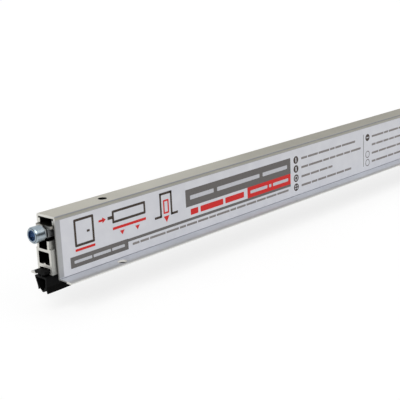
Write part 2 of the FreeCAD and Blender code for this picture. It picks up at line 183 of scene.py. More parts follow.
millLook = {
    "colour": "#BBBBB6",
    "shade": 0.86,
    "bands": (),
    "cut": "#D2D1CB",
    "cutDepth": 0.3,
    "inside": "#3A3A38",
    "insideHalf": 3.53,
    "insideTop": 30.0,
    "metallic": 0.85,
    "roughness": (0.28, 0.40),
    "corner": "#BBBBB6",
    "cornerAbove": 0.0,
    "cornerRoughness": 0.2,
    "cutRoughness": 0.46,
    "lineGap": 0.30,
    "lineLength": 70.0,
    "sawGap": 0.40,
    "cloud": 9.0,
    "relief": 0.012,
    "bump": 0.35,
    "edge": 0.12,
}
# limits that both share: cosines, and products of two values between nought and one
extrusion = {
    "squareFrom": (0.85, 0.95),        # how square to X a cut face stands
    "uprightWithin": 0.3,              # how level the normal of a hole's wall lies
    "slantFrom": (0.12, 0.3),          # how much a face turns both sideways and up
    "blotchFrom": (0.12, 0.40),        # where the lines and the clouds are dark together
}


def cutTones(tree, look, spot):
    # strips of painted shade on the cut end, fading out towards the top
    under = addNode(tree, "MapRange", {
        "Value": spot.outputs["Z"], **span(look["cutShadeBelow"], scale=mm), **span((1.0, 0.0), "To")})
    sawn = linear(look["cut"])
    for shown, first, last in (look["cutShade"], look["gapShade"]):
        strip = addNode(tree, "Math", {
            0: spot.outputs["Y"], 1: (first + last) / 2 * mm, 2: (last - first) / 2 * mm},
            operation="COMPARE")
        shaded = addNode(tree, "Math", {
            0: strip.outputs[0], 1: under.outputs[0]}, operation="MULTIPLY")
        sawn = addNode(tree, "Mix", {
            "Factor": shaded.outputs[0], 6: sawn, 7: linear(shown)}, data_type="RGBA").outputs[2]
    return sawn


def flangeTones(tree, look, skin, facing, spot, aside):
    # hole walls stand upright; they and the painted corner shade lie between two places across and below a
    # height
    upright = addNode(tree, "Math", {
        0: facing.outputs["Z"], 1: 0.0, 2: extrusion["uprightWithin"]}, operation="COMPARE")
    for part, faces in (("punched", upright.outputs[0]), ("cornerShade", 1.0)):
        shown, first, last, top = look[part]
        within = addNode(tree, "Math", {
            0: aside.outputs[0], 1: (first + last) / 2 * mm, 2: (last - first) / 2 * mm},
            operation="COMPARE")
        below = addNode(tree, "Math", {
            0: spot.outputs["Z"], 1: top * mm}, operation="LESS_THAN")
        strip = addNode(tree, "Math", {
            0: within.outputs[0], 1: below.outputs[0]}, operation="MULTIPLY")
        marked = addNode(tree, "Math", {
            0: strip.outputs[0], 1: faces}, operation="MULTIPLY")
        skin = addNode(tree, "Mix", {
            "Factor": marked.outputs[0], 6: skin, 7: linear(shown)}, data_type="RGBA").outputs[2]
    # the border grows between two places across, on faces above a height
    shown, first, last, above = look["border"]
    outer = addNode(tree, "MapRange", {
        "Value": aside.outputs[0], **span((first, last), scale=mm)})
    upper = addNode(tree, "Math", {
        0: spot.outputs["Z"], 1: above * mm}, operation="GREATER_THAN")
    handled = addNode(tree, "Math", {
        0: outer.outputs[0], 1: upper.outputs[0]}, operation="MULTIPLY")
    return addNode(tree, "Mix", {
        "Factor": handled.outputs[0], 6: skin, 7: linear(shown)}, data_type="RGBA").outputs[2]


def extrudedAluminium(name, look, node):
    material, tree, shader = startMaterial(name)
    low, high = nodeBox(node)
    place = addNode(tree, "TexCoord")
    facing = addNode(tree, "SeparateXYZ", {"Vector": place.outputs["Normal"]})
    spot = addNode(tree, "SeparateXYZ", {"Vector": place.outputs["Object"]})
    aside = addNode(tree, "Math", {0: spot.outputs["Y"]}, operation="ABSOLUTE")
    stretch = addNode(tree, "Mapping", {
        "Vector": place.outputs["Object"],
        "Scale": perMm(look["lineLength"], look["lineGap"], look["lineGap"])})
    lines = addNode(tree, "TexNoise", {
        "Vector": stretch.outputs["Vector"], "Scale": 1.0, "Detail": 3.0, "Roughness": 0.6})
    cloud = addNode(tree, "TexNoise", {
        "Vector": place.outputs["Object"], "Scale": perMm(look["cloud"])[0], "Detail": 2.0})
    # a wave texture repeats every pi / 10 at scale 1
    saw = addNode(tree, "TexWave", {
        "Vector": place.outputs["Object"], "Scale": perMm(look["sawGap"])[0] * math.pi / 10,
        "Distortion": 1.2, "Detail": 2.0, "Detail Scale": 1.5}, bands_direction="Z")
    # cut faces stand square to X at either end of the length
    across = addNode(tree, "Math", {0: facing.outputs["X"]}, operation="ABSOLUTE")
    square = addNode(tree, "MapRange", {
        "Value": across.outputs[0], **span(extrusion["squareFrom"])})
    between = addNode(tree, "Math", {
        0: spot.outputs["X"], 1: (low[0] + high[0]) / 2 * mm,
        2: ((high[0] - low[0]) / 2 - look["cutDepth"]) * mm}, operation="COMPARE")
    cut = addNode(tree, "Math", {
        0: square.outputs[0], 1: between.outputs[0]}, operation="SUBTRACT", use_clamp=True)
    sawn = cutTones(tree, look, spot) if "cutShade" in look else linear(look["cut"])
    # the skin has bands of painted light by height, with darker blotches along the lines
    blotch = addNode(tree, "Math", {
        0: cloud.outputs["Fac"], 1: lines.outputs["Fac"]}, operation="MULTIPLY")
    level = addNode(tree, "MapRange", {
        "Value": blotch.outputs[0], **span(extrusion["blotchFrom"]), **span((look["shade"], 1.0), "To")})
    tint = linear(look["colour"])
    for shown, first, last in look["bands"]:
        reached = addNode(tree, "MapRange", {
            "Value": spot.outputs["Z"], **span((first, last), scale=mm)})
        tint = addNode(tree, "Mix", {
            "Factor": reached.outputs[0], 6: tint, 7: linear(shown)}, data_type="RGBA").outputs[2]
    satin = addNode(tree, "Mix", {
        "Factor": 1.0, 6: tint, 7: level.outputs[0]}, data_type="RGBA", blend_type="MULTIPLY")
    # inside: close to the middle plane and below the top face
    close = addNode(tree, "Math", {
        0: aside.outputs[0], 1: look["insideHalf"] * mm}, operation="LESS_THAN")
    lower = addNode(tree, "Math", {
        0: spot.outputs["Z"], 1: look["insideTop"] * mm}, operation="LESS_THAN")
    inside = addNode(tree, "Math", {
        0: close.outputs[0], 1: lower.outputs[0]}, operation="MULTIPLY")
    skin = addNode(tree, "Mix", {
        "Factor": inside.outputs[0], 6: satin.outputs[2], 7: linear(look["inside"])},
        data_type="RGBA").outputs[2]
    if "border" in look:
        skin = flangeTones(tree, look, skin, facing, spot, aside)
    # rounded corners rub smooth and carry a painted reflection: they face half upwards and half sideways,
    # and lie above a height
    turn = addNode(tree, "Math", {
        0: facing.outputs["Y"], 1: facing.outputs["Z"]}, operation="MULTIPLY")
    turned = addNode(tree, "Math", {0: turn.outputs[0]}, operation="ABSOLUTE")
    slanted = addNode(tree, "MapRange", {
        "Value": turned.outputs[0], **span(extrusion["slantFrom"])})
    raised = addNode(tree, "Math", {
        0: spot.outputs["Z"], 1: look["cornerAbove"] * mm}, operation="GREATER_THAN")
    corner = addNode(tree, "Math", {
        0: slanted.outputs[0], 1: raised.outputs[0]}, operation="MULTIPLY")
    edged = addNode(tree, "Mix", {
        "Factor": corner.outputs[0], 6: skin, 7: linear(look["corner"])}, data_type="RGBA")
    colour = addNode(tree, "Mix", {
        "Factor": cut.outputs[0], 6: edged.outputs[2], 7: sawn}, data_type="RGBA")
    bare = addNode(tree, "Math", {
        0: corner.outputs[0], 1: inside.outputs[0]}, operation="MAXIMUM")
    metal = addNode(tree, "MapRange", {
        "Value": bare.outputs[0], **span((look["metallic"], 1.0), "To")})
    worn = addNode(tree, "MapRange", {
        "Value": lines.outputs["Fac"], **mostOfNoise, **span(look["roughness"], "To")})
    rubbed = addNode(tree, "Mix", {
        "Factor": corner.outputs[0], 2: worn.outputs[0], 3: look["cornerRoughness"]})
    rough = addNode(tree, "Mix", {
        "Factor": cut.outputs[0], 2: rubbed.outputs[0], 3: look["cutRoughness"]})
    relief = addNode(tree, "Mix", {
        "Factor": cut.outputs[0], 2: lines.outputs["Fac"], 3: saw.outputs["Fac"]})
    eased = addNode(tree, "Bevel", {"Radius": look["edge"] * mm}, samples=4)
    bump = addNode(tree, "Bump", {
        "Strength": look["bump"], "Distance": look["relief"] * mm, "Height": relief.outputs[0],
        "Normal": eased.outputs["Normal"]})
    setInputs(tree, shader, {
        "Base Color": colour.outputs[2], "Metallic": metal.outputs[0],
        "Roughness": rough.outputs[0], "Normal": bump.outputs["Normal"]})
    return material


# Zinc plated steel: bright, faintly blue from the passivating dip, with fine turned or rolled lines;
# the recess of a socket keeps more of the dip and is blue, darkened by painted shade towards its mouth
zincLook = {
    "colour": "#A9B2B7",
    "tint": "#909FAA",
    "roughness": (0.27, 0.33),
    "lineGap": 0.22,          # drawn coarser than the real lines
    "turnedLength": 40.0,
    "rolledLength": 60.0,
    "cloud": 2.4,
    "relief": 0.008,
    "bump": 0.12,
    "edge": 0.04,
    # painted shade at the socket's mouth, in the dip's blue
    "socketMouth": "#3F5876",
    "socket": "#9DAFC6",
    "socketFade": 1.6,        # depth over which the mouth's tone gives way
    "socketRadius": 2.36,
    "socketBehind": 0.03,     # the recess begins this far behind the nose face
    "mouthRadius": 2.42,      # painted shade on the face around the socket, as of a chamfered mouth
    "rim": "#4C555B",         # shadow line where the nose face meets its chamfer
    "rimRadius": 3.0,
    "rimHalf": 0.11,
    "paintedShades": (),             # painted shade: axis, colour and the place along the axis beyond which it lies
}
# the nut's plating is paler, and its rubbed edges catch the light
seamWidth = 0.6
seamX = nodeBox("lock_nut")[1][0] - seamWidth
nutLook = {
    **zincLook,
    "colour": "#BFC5C8",
    "tint": "#AAB1B5",
    "edge": 0.15,
    "paintedShades": (("X", "#2B2D2F", seamX),),   # painted shade in the seam beside the block
}
# the strip is the same steel, rolled instead of turned and greyer
stripLook = {
    **zincLook,
    "colour": "#B4B1AA",
    "tint": "#A19E97",
    "roughness": (0.32, 0.38),
    "paintedShades": (("Z", "#54544D", 29.04),),           # painted shade on the upper face
}


def socketTones(tree, look, shown, place, axis):
    # rings around the plunger's axis: the rim's shadow line, the mouth's painted shade and the recess,
    # which lies behind the nose face
    centred = addNode(tree, "Mapping", {
        "Vector": place.outputs["Object"], "Location": tuple(-value * mm for value in axis)})
    flat = addNode(tree, "VectorMath", {
        0: centred.outputs["Vector"], 1: (0.0, 1.0, 1.0)}, operation="MULTIPLY")
    reach = addNode(tree, "VectorMath", {0: flat.outputs["Vector"]}, operation="LENGTH")
    depth = addNode(tree, "SeparateXYZ", {"Vector": centred.outputs["Vector"]})
    onRim = addNode(tree, "Math", {
        0: reach.outputs["Value"], 1: look["rimRadius"] * mm, 2: look["rimHalf"] * mm}, operation="COMPARE")
    mouth = addNode(tree, "Math", {
        0: reach.outputs["Value"], 1: look["mouthRadius"] * mm}, operation="LESS_THAN")
    near = addNode(tree, "Math", {
        0: reach.outputs["Value"], 1: look["socketRadius"] * mm}, operation="LESS_THAN")
    behind = addNode(tree, "Math", {
        0: depth.outputs["X"], 1: look["socketBehind"] * mm}, operation="GREATER_THAN")
    recess = addNode(tree, "Math", {
        0: near.outputs[0], 1: behind.outputs[0]}, operation="MULTIPLY")
    deep = addNode(tree, "MapRange", {
        "Value": depth.outputs["X"], **span((0.0, look["socketFade"]), scale=mm)})
    well = addNode(tree, "Mix", {
        "Factor": deep.outputs[0], 6: linear(look["socketMouth"]), 7: linear(look["socket"])},
        data_type="RGBA")
    layers = (
        (onRim, linear(look["rim"])),
        (mouth, linear(look["socketMouth"])),
        (recess, well.outputs[2]),
    )
    for mask, tone in layers:
        shown = addNode(tree, "Mix", {
            "Factor": mask.outputs[0], 6: shown, 7: tone}, data_type="RGBA").outputs[2]
    return shown


def zincPlatedSteel(name, look, turned, axis=None):
    material, tree, shader = startMaterial(name)
    place = addNode(tree, "TexCoord")
    cloud = addNode(tree, "TexNoise", {
        "Vector": place.outputs["Object"], "Scale": perMm(look["cloud"])[0], "Detail": 3.0})
    # turned lines run around X, rolled lines along it
    gap = look["lineGap"]
    turnedScale = perMm(gap, look["turnedLength"], look["turnedLength"])
    rolledScale = perMm(look["rolledLength"], gap, gap)
    along = addNode(tree, "Mapping", {
        "Vector": place.outputs["Object"], "Scale": turnedScale if turned else rolledScale})
    lines = addNode(tree, "TexNoise", {
        "Vector": along.outputs["Vector"], "Scale": 1.0, "Detail": 2.0})
    tone = addNode(tree, "MapRange", {
        "Value": cloud.outputs["Fac"], **middleOfNoise})
    colour = addNode(tree, "Mix", {
        "Factor": tone.outputs[0], 6: linear(look["tint"]), 7: linear(look["colour"])}, data_type="RGBA")
    shown = colour.outputs[2]
    if axis is not None:
        shown = socketTones(tree, look, shown, place, axis)
    # painted shade beyond a place along an axis
    for letter, dark, beyond in look["paintedShades"]:
        spot = addNode(tree, "SeparateXYZ", {"Vector": place.outputs["Object"]})
        inShade = addNode(tree, "Math", {
            0: spot.outputs[letter], 1: beyond * mm}, operation="GREATER_THAN")
        shown = addNode(tree, "Mix", {
            "Factor": inShade.outputs[0], 6: shown, 7: linear(dark)}, data_type="RGBA").outputs[2]
    rough = addNode(tree, "MapRange", {
        "Value": lines.outputs["Fac"], **mostOfNoise, **span(look["roughness"], "To")})
    eased = addNode(tree, "Bevel", {"Radius": look["edge"] * mm}, samples=4)
    bump = addNode(tree, "Bump", {
        "Strength": look["bump"], "Distance": look["relief"] * mm, "Height": lines.outputs["Fac"],
        "Normal": eased.outputs["Normal"]})
    setInputs(tree, shader, {
        "Base Color": shown, "Metallic": 1.0,
        "Roughness": rough.outputs[0], "Normal": bump.outputs["Normal"]})
    return material


# Grained finishes share one build: a base and a second colour mixed by a fine grain, with its bump
inkSurface = {"metallic": 0.0, "roughness": (0.41, 0.49), "grain": 1.2, "depth": 0.002, "specular": 0.35}
grainedLooks = {
    # pressure-cast zinc: pale grey with a sandy skin from the die
    "castZinc": {"colour": "#D2D5D6", "second": "#C0C3C5", "metallic": 1.0, "roughness": (0.42, 0.50),
                 "grain": 0.5, "depth": 0.02, "specular": 0.5},
    # cold-rolled spring steel: dark blue-grey, smooth
    "springSteel": {"colour": "#6C7176", "second": "#5A5E63", "metallic": 1.0, "roughness": (0.28, 0.36),
                    "grain": 1.5, "depth": 0.004, "specular": 0.5},
    # moulded nylon: black with a soft sheen
    "mouldedNylon": {"colour": "#17181A", "second": "#1F2022", "metallic": 0.0, "roughness": (0.46, 0.54),
                     "grain": 0.6, "depth": 0.01, "specular": 0.45},
    # printed polyester film: silvery white, nearly matt, not perfectly flat where it was rolled on
    "labelFilm": {"colour": "#DCDDE2", "second": "#D6D7DD", "metallic": 0.0, "roughness": (0.38, 0.46),
                  "grain": 7.0, "depth": 0.03, "specular": 0.4},
    # screen-printed inks: flat colour with a slight uneven density
    "greyInk": {"colour": "#6C6967", "second": "#666361", **inkSurface},
    "darkInk": {"colour": "#43372F", "second": "#3C312A", **inkSurface},
    "softInk": {"colour": "#8B8684", "second": "#827D7B", **inkSurface},
    "redInk": {"colour": "#D82623", "second": "#D12321", **inkSurface},
    "paleInk": {"colour": "#C9CACF", "second": "#C3C4CA", **inkSurface},
}


def grained(name):
    look = grainedLooks[name]
    material, tree, shader = startMaterial(name)
    place = addNode(tree, "TexCoord")
    grain = addNode(tree, "TexNoise", {
        "Vector": place.outputs["Object"], "Scale": perMm(look["grain"])[0], "Detail": 3.0})
    tone = addNode(tree, "MapRange", {
        "Value": grain.outputs["Fac"], **middleOfNoise})
    colour = addNode(tree, "Mix", {
        "Factor": tone.outputs[0], 6: linear(look["second"]), 7: linear(look["colour"])},
        data_type="RGBA")
    rough = addNode(tree, "MapRange", {
        "Value": grain.outputs["Fac"], **mostOfNoise, **span(look["roughness"], "To")})
    bump = addNode(tree, "Bump", {
        "Strength": 0.5, "Distance": look["depth"] * mm, "Height": grain.outputs["Fac"]})
    setInputs(tree, shader, {
        "Base Color": colour.outputs[2], "Metallic": look["metallic"],
        "Roughness": rough.outputs[0], "Normal": bump.outputs["Normal"],
        "Specular IOR Level": look["specular"]})
    return material


# Extruded rubber: near black and half matt, with lines from the die along it,
# a little bloom on the surface and a greyer face where it was cut
rubberLook = {
    "colour": "#0B0B0C",
    "bloom": "#0F0F0F",
    # painted shade on the lips below the crease
    "lip": "#050505",
    "lipBelow": (2.6, 3.2),
    "cut": "#131313",
    "roughness": (0.52, 0.70),
    "specular": 0.05,
    "lineGap": 0.30,          # drawn coarser than the real lines
    "lineLength": 45.0,
    "relief": 0.02,
    "bump": 0.4,
    "bloomSize": 5.0,
    "bloomSpread": (0.4, 0.7),         # part of the noise that is bloom
    "cutFrom": (0.8, 0.92),            # how square to X a cut face stands, as a cosine
}


def extrudedRubber(name, look):
    material, tree, shader = startMaterial(name)
    place = addNode(tree, "TexCoord")
    stretch = addNode(tree, "Mapping", {
        "Vector": place.outputs["Object"],
        "Scale": perMm(look["lineLength"], look["lineGap"], look["lineGap"])})
    lines = addNode(tree, "TexNoise", {
        "Vector": stretch.outputs["Vector"], "Scale": 1.0, "Detail": 2.0})
    cloud = addNode(tree, "TexNoise", {
        "Vector": place.outputs["Object"], "Scale": perMm(look["bloomSize"])[0], "Detail": 4.0})
    facing = addNode(tree, "SeparateXYZ", {"Vector": place.outputs["Normal"]})
    across = addNode(tree, "Math", {0: facing.outputs["X"]}, operation="ABSOLUTE")
    cut = addNode(tree, "MapRange", {
        "Value": across.outputs[0], **span(look["cutFrom"])})
    tone = addNode(tree, "MapRange", {
        "Value": cloud.outputs["Fac"], **span(look["bloomSpread"])})
    skin = addNode(tree, "Mix", {
        "Factor": tone.outputs[0], 6: linear(look["colour"]), 7: linear(look["bloom"])},
        data_type="RGBA")
    # the lips below the crease are thinner, and painted darker as shade
    spot = addNode(tree, "SeparateXYZ", {"Vector": place.outputs["Object"]})
    under = addNode(tree, "MapRange", {
        "Value": spot.outputs["Z"], **span(look["lipBelow"], scale=mm), **span((1.0, 0.0), "To")})
    lipped = addNode(tree, "Mix", {
        "Factor": under.outputs[0], 6: skin.outputs[2], 7: linear(look["lip"])}, data_type="RGBA")
    colour = addNode(tree, "Mix", {
        "Factor": cut.outputs[0], 6: lipped.outputs[2], 7: linear(look["cut"])}, data_type="RGBA")
    rough = addNode(tree, "MapRange", {
        "Value": cloud.outputs["Fac"], **mostOfNoise, **span(look["roughness"], "To")})
    bump = addNode(tree, "Bump", {
        "Strength": look["bump"], "Distance": look["relief"] * mm, "Height": lines.outputs["Fac"]})
    setInputs(tree, shader, {
        "Base Color": colour.outputs[2], "Roughness": rough.outputs[0],
        "Normal": bump.outputs["Normal"], "Specular IOR Level": look["specular"]})
    return material


plungerLow, plungerHigh = nodeBox("plunger")
plungerAxis = (plungerLow[0], 0.0, (plungerLow[2] + plungerHigh[2]) / 2)
anodisedAluminium = extrudedAluminium("anodisedAluminium", anodisedLook, "housing")
millAluminium = extrudedAluminium("millAluminium", millLook, "carrier")
turnedZinc = zincPlatedSteel("zincPlatedTurnedSteel", zincLook, True)
plungerZinc = zincPlatedSteel("zincPlatedPlunger", zincLook, True, plungerAxis)
nutZinc = zincPlatedSteel("zincPlatedNut", nutLook, True)
stripZinc = zincPlatedSteel("zincPlatedStrip", stripLook, False)
blackRubber = extrudedRubber("extrudedRubber", rubberLook)
finishes = {name: grained(name) for name in grainedLooks}

nodeFinish = {
    "housing": anodisedAluminium,
    "carrier": millAluminium,
    "label": finishes["labelFilm"],
    "plunger": plungerZinc,
    "lock_nut": nutZinc,
    "pusher_bar": stripZinc,
    "slider_block": finishes["castZinc"],
    "near_anchor": finishes["mouldedNylon"],
    "far_anchor": finishes["mouldedNylon"],
}
for node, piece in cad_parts.items():
    for slot in piece.material_slots:
        slot.material = nodeFinish.get(node, turnedZinc)
print("finishes:", len(bpy.data.materials))


# Rubber seal: T head, two legs and a hollow keel between two lips
sealForm = {
    "headHalf": 3.3,
    "headLow": 8.6,
    "headHigh": 10.0,
    "headRound": 0.3,
    "legOuter": 1.35,
    "legInner": 0.5,
    "legRound": 0.12,
    "shoulderHalf": 3.95,
    "shoulderZ": 7.6,
    "shoulderRound": 0.5,
    "creaseHalf": 3.0,
    "creaseZ": 3.0,
    "creaseRound": 0.3,
    "lipHalf": 3.15,
    "lipThickness": 0.45,
    "lipFrom": 2.15,          # only what lies farther out than this belongs to a lip
    "rootHalf": 2.25,
    "rootZ": 2.4,
    "rootRound": 0.25,
    "keelHalf": 0.4,
    "keelZ": 0.3,
    "keelRound": 0.3,
    "keelInnerRound": 0.15,
    "fineRound": 0.05,        # of the lips' edges and of the gap between the legs
    "wall": 0.85,
    "cutSlope": 6.0,          # degrees that the near end leans back
    "lipRise": 1.15,          # how far the far lip is curled up at the cut end
    "lipRiseLength": 9.0,
    "lipWave": (0.12, 0.072),          # slack of the lips along the seal, a long and a short wave
    "lipWaveLength": (6.1, 2.3),       # length of each wave for one radian
    "lipLift": 0.5,           # they hang lowest at the near end
    "lipLiftAlong": (6.0, 18.0),
    "stations": 150,
    "cornerSteps": 6,
}


def roundedOutline(corners, steps):
    # closed outline from (y, z, radius) corners: each corner is an arc tangent to its two sides,
    # its centre on the line that halves the corner and its ends radius / tan(half angle) away
    spot = np.array([corner[:2] for corner in corners], float)
    radius = np.array([corner[2] for corner in corners], float)
    back = np.roll(spot, 1, 0) - spot
    ahead = np.roll(spot, -1, 0) - spot
    back /= np.linalg.norm(back, axis=1, keepdims=True)
    ahead /= np.linalg.norm(ahead, axis=1, keepdims=True)
    half = np.arccos(np.clip((back * ahead).sum(1), -1, 1)) / 2
    inwards = back + ahead
    inwards /= np.linalg.norm(inwards, axis=1, keepdims=True)
    centre = spot + inwards * (radius / np.sin(half))[:, None]
    start = spot + back * (radius / np.tan(half))[:, None] - centre
    end = spot + ahead * (radius / np.tan(half))[:, None] - centre
    share = np.linspace(0, 1, steps)
    sweep = np.pi - 2 * half
    fade = np.sin((1 - share) * sweep[:, None])[..., None] / np.sin(sweep)[:, None, None]
    grow = np.sin(share * sweep[:, None])[..., None] / np.sin(sweep)[:, None, None]
    arcs = centre[:, None] + fade * start[:, None] + grow * end[:, None]
    return arcs.reshape(-1, 2)


def bothSides(half):
    # whole section from its +Y half, listed from the middle outwards and back
    return half + [(-y, z, radius) for y, z, radius in reversed(half)]


def sealOutlines(form):
    # the skin, the hollow of the keel and the gap between the legs
    wall = form["wall"]
    fine = form["fineRound"]
    skin = bothSides([
        (form["headHalf"], form["headHigh"], form["headRound"]),
        (form["headHalf"], form["headLow"], form["headRound"]),
        (form["legOuter"], form["headLow"], form["legRound"]),
        (form["legOuter"], form["shoulderZ"], form["legRound"]),
        (form["shoulderHalf"], form["shoulderZ"], form["shoulderRound"]),
        (form["creaseHalf"], form["creaseZ"], form["creaseRound"]),
        (form["lipHalf"], 0.0, fine),
        (form["lipHalf"] - form["lipThickness"], 0.0, fine),
        (form["rootHalf"], form["rootZ"], form["rootRound"]),
        (form["keelHalf"], form["keelZ"], form["keelRound"]),
    ])
    hollow = bothSides([
        (form["shoulderHalf"] - wall, form["shoulderZ"] - wall, form["shoulderRound"]),
        (form["creaseHalf"] - wall, form["creaseZ"], form["creaseRound"]),
        (form["keelHalf"], form["keelZ"] + wall, form["keelInnerRound"]),
    ])
    legGap = bothSides([
        (form["legInner"], form["headLow"], fine),
        (form["legInner"], form["shoulderZ"], fine),
    ])
    return [roundedOutline(corners, form["cornerSteps"]) for corners in (skin, hollow, legGap)]


def carriedAlong(loop, form, startX, endX):
    # an outline carried along X, from the sloping cut to the square far end; only the lips move:
    # they lift by the greater of a bell curve, on the far lip, and a smooth step, and sway by two sines
    y, z = loop[None, :, 0], loop[None, :, 1]
    share = np.linspace(0, 1, form["stations"])[:, None] ** 2
    cutX = startX + (form["headHigh"] - z) * math.tan(math.radians(form["cutSlope"]))
    x = cutX + share * (endX - cutX)
    below = np.clip((form["creaseZ"] - z) / form["creaseZ"], 0, 1)
    onLip = below * (np.abs(y) > form["lipFrom"])
    curl = form["lipRise"] * np.exp(-((x - startX) / form["lipRiseLength"]) ** 2) * (y > 0)
    first, last = form["lipLiftAlong"]
    eased = np.clip((x - startX - first) / (last - first), 0, 1)
    rise = np.maximum(curl, form["lipLift"] * eased ** 2 * (3 - 2 * eased))
    long, short = form["lipWave"]
    longLength, shortLength = form["lipWaveLength"]
    sway = long * np.sin(x / longLength + np.sign(y)) + short * np.sin(x / shortLength + 2 * np.sign(y))
    return np.stack([x, y + sway * onLip, z + rise * onLip], -1)


def buildSeal(form):
    # three walls carried along X, with the section between their outlines closed at both ends
    sealLow, sealHigh = nodeBox("seal")
    loops = sealOutlines(form)
    sizes = np.array([len(loop) for loop in loops])
    starts = np.concatenate([[0], np.cumsum(form["stations"] * sizes)])
    points = []
    faces = []
    for number, loop in enumerate(loops):
        carried = carriedAlong(loop, form, sealLow[0], sealHigh[0])
        quads = gridFaces(form["stations"], len(loop), True) + starts[number]
        faces += (quads if number else quads[:, ::-1]).tolist()
        points.append(carried.reshape(-1, 3))
    cap = np.array(tessellate_polygon([[Vector((*spot, 0)) for spot in loop] for loop in loops]))
    belongs = np.repeat(np.arange(len(loops)), sizes)
    within = np.concatenate([np.arange(size) for size in sizes])
    nearCap = (starts[belongs] + within)[cap]
    farCap = (starts[belongs] + (form["stations"] - 1) * sizes[belongs] + within)[cap]
    faces += nearCap[:, ::-1].tolist() + farCap.tolist()
    piece = makePiece("rubber_seal", np.concatenate(points), faces, blackRubber, smoothAngle=40)
    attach(piece, "carrier")
    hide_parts("seal")
    return piece


rubberSeal = buildSeal(sealForm)
print("seal:", len(rubberSeal.data.polygons), "faces")


# Leaf springs: flat tabs at the ends and a bow between them that dips to the carrier's web
leafForm = {
    "tab": 9.0,
    "thickness": 0.5,
    "edgeRound": 0.12,
    "tip": 0.999,             # how far the round ends close, so that their last row keeps a width
    "stations": 120,
    "cornerSteps": 4,
}


def buildLeaf(side, form):
    # height along the leaf: half of (1 - cosine of one whole turn) between the tabs, times the dip;
    # width along it: full, closing in a half circle at each end; around it: a thin rounded strip
    node = side + "_leaf_spring"
    low, high = nodeBox(node)
    halfWidth = (high[1] - low[1]) / 2
    halfThick = form["thickness"] / 2
    dip = high[2] - low[2] - form["thickness"]
    angle = np.linspace(0, np.pi, form["stations"])
    x = low[0] + (high[0] - low[0]) * (1 - np.cos(angle)) / 2
    share = np.clip((x - low[0] - form["tab"]) / (high[0] - low[0] - 2 * form["tab"]), 0, 1)
    middle = high[2] - halfThick - dip * (1 - np.cos(2 * np.pi * share)) / 2
    toEnd = np.minimum(x - low[0], high[0] - x)
    short = np.clip(1 - toEnd / halfWidth, 0, form["tip"])
    width = halfWidth * np.sqrt(1 - short ** 2)
    section = roundedOutline([
        (1, halfThick, form["edgeRound"]), (-1, halfThick, form["edgeRound"]),
        (-1, -halfThick, form["edgeRound"]), (1, -halfThick, form["edgeRound"])], form["cornerSteps"])
    points = np.stack(np.broadcast_arrays(
        x[:, None], width[:, None] * section[None, :, 0], middle[:, None] + section[None, :, 1]), -1)
    rows, columns = points.shape[:2]
    faces = gridFaces(rows, columns, True)[:, ::-1].tolist()
    faces += [list(range(columns)), list(range(rows * columns - 1, (rows - 1) * columns - 1, -1))]
    piece = makePiece(side + "_bowed_spring", points.reshape(-1, 3), faces, finishes["springSteel"])
    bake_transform(piece)
    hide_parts(node)


for side in ("near", "far"):
    buildLeaf(side, leafForm)
print("leaf springs bowed")


